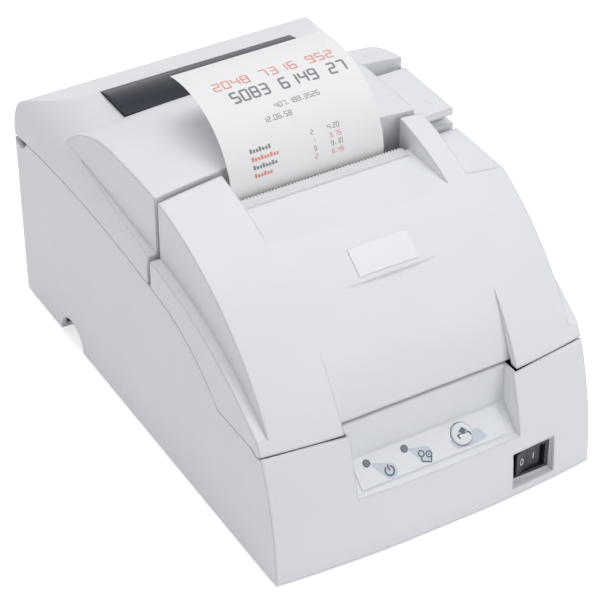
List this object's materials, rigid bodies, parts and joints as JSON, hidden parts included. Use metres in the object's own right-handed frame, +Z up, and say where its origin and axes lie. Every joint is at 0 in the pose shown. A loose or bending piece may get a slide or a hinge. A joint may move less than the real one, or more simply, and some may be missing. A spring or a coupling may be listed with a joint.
{
  "type": "receipt printer",
  "caption": "Desktop receipt printer with a lower case, front cover and roll cover on hinges, a paper exit with a tear edge, and its printing works inside.",
  "frame": {"origin": "under the middle of the printer, on the face its feet stand on", "axes": "+Z up, front facing -Y, +X to the right seen from the front"},
  "size_m": [0.16, 0.248, 0.1588],
  "materials": {
    "case_plastic": "fine grained",
    "soft_rubber": "matt",
    "steel": "satin",
    "window_tint": "clear tinted",
    "panel_sheet": "satin",
    "lens": "clear",
    "dark_plastic": "satin",
    "board": "lacquered",
    "frame_steel": "zinc grey",
    "paper": "matt paper",
    "core_card": "card",
    "ribbon_ink": "inked weave"
  },
  "bodies": {
    "base": {"lower_case": "case_plastic", "rubber_feet": "soft_rubber", "control_panel_plate": "panel_sheet", "indicator_lenses": "lens", "panel_board": "board", "power_switch_housing": "dark_plastic", "main_frame": "frame_steel", "frame_screws": "steel", "guide_shaft": "steel", "drive_belt": "soft_rubber", "carriage_motor": "frame_steel", "ribbon_cassette": "dark_plastic", "ribbon_band": "ribbon_ink", "platen": "steel", "feed_motor": "frame_steel", "paper_bin": "dark_plastic", "main_board": "board", "board_components": "dark_plastic", "power_inlet": "dark_plastic", "drawer_jack": "dark_plastic", "interface_connector": "dark_plastic", "interface_plate": "frame_steel"},
    "front_cover": {"printer_cover": "case_plastic", "cover_hinge_pins": "steel", "tear_bar": "steel", "badge_plate": "panel_sheet"},
    "roll_cover": {"roll_paper_cover": "case_plastic", "lid_hinge_pins": "steel", "paper_window": "window_tint", "lever_pin": "steel", "paper_slip": "paper"},
    "lever": {"cover_open_lever": "case_plastic"},
    "button": {"feed_button": "case_plastic"},
    "rocker": {"power_switch_rocker": "dark_plastic"},
    "carriage": {"print_carriage": "dark_plastic", "print_head": "dark_plastic"},
    "drive_pulley": {"motor_pulley": "dark_plastic"},
    "idler": {"idler_pulley": "dark_plastic"},
    "feed": {"feed_shaft": "steel", "feed_roller": "soft_rubber", "feed_gear": "dark_plastic"},
    "pinion": {"feed_pinion": "dark_plastic"},
    "press": {"pressure_roller": "soft_rubber"},
    "roll": {"paper_roll": "paper", "paper_core": "core_card"},
    "knob": {"ribbon_knob": "dark_plastic"}
  },
  "joints": [
    {"name": "front_cover_hinge", "type": "hinge", "parent": "base", "child": "front_cover", "pos_m": [0, -0.1045, 0.066], "axis": [1, 0, 0], "range_deg": [0, 60]},
    {"name": "roll_cover_hinge", "type": "hinge", "parent": "base", "child": "roll_cover", "pos_m": [0, 0.1186, 0.094], "axis": [-1, 0, 0], "range_deg": [0, 70]},
    {"name": "lever_hinge", "type": "hinge", "parent": "roll_cover", "child": "lever", "pos_m": [0.064, 0.025, 0.125], "axis": [-1, 0, 0], "range_deg": [0, 18], "stiffness_Nm_per_rad": 0.05},
    {"name": "feed_button_press", "type": "slide", "parent": "base", "child": "button", "axis": [0, 0.6571, -0.7538], "range_m": [0, 0.0008], "stiffness_N_per_m": 400},
    {"name": "power_rocker_tilt", "type": "hinge", "parent": "base", "child": "rocker", "pos_m": [0.0485, -0.1143, 0.0149], "axis": [0, 0, -1], "range_deg": [0, 14]},
    {"name": "carriage_slide", "type": "slide", "parent": "base", "child": "carriage", "axis": [1, 0, 0], "range_m": [-0.028, 0.028]},
    {"name": "drive_pulley_spin", "type": "hinge", "parent": "base", "child": "drive_pulley", "pos_m": [-0.044, -0.0545, 0.036], "axis": [0, 1, 0], "continuous": true},
    {"name": "idler_spin", "type": "hinge", "parent": "base", "child": "idler", "pos_m": [0.044, -0.0545, 0.036], "axis": [0, 1, 0], "continuous": true},
    {"name": "feed_spin", "type": "hinge", "parent": "base", "child": "feed", "pos_m": [0, -0.024, 0.096], "axis": [1, 0, 0], "continuous": true},
    {"name": "pinion_spin", "type": "hinge", "parent": "base", "child": "pinion", "pos_m": [-0.065, -0.0403, 0.096], "axis": [1, 0, 0], "continuous": true},
    {"name": "press_spin", "type": "hinge", "parent": "roll_cover", "child": "press", "pos_m": [0, -0.0133, 0.096], "axis": [1, 0, 0], "continuous": true},
    {"name": "roll_spin", "type": "hinge", "parent": "base", "child": "roll", "pos_m": [-0.004, 0.062, 0.0628], "axis": [1, 0, 0], "continuous": true},
    {"name": "knob_spin", "type": "hinge", "parent": "base", "child": "knob", "pos_m": [0.036, -0.08, 0.082], "axis": [0, 0, 1], "continuous": true}
  ],
  "couplings": [
    {"joint": "drive_pulley_spin", "follows": "carriage_slide", "rad_per_m": 153.85},
    {"joint": "idler_spin", "follows": "carriage_slide", "rad_per_m": 153.85},
    {"joint": "pinion_spin", "follows": "feed_spin", "ratio": -3},
    {"joint": "press_spin", "follows": "feed_spin", "ratio": -1.5}
  ]
}
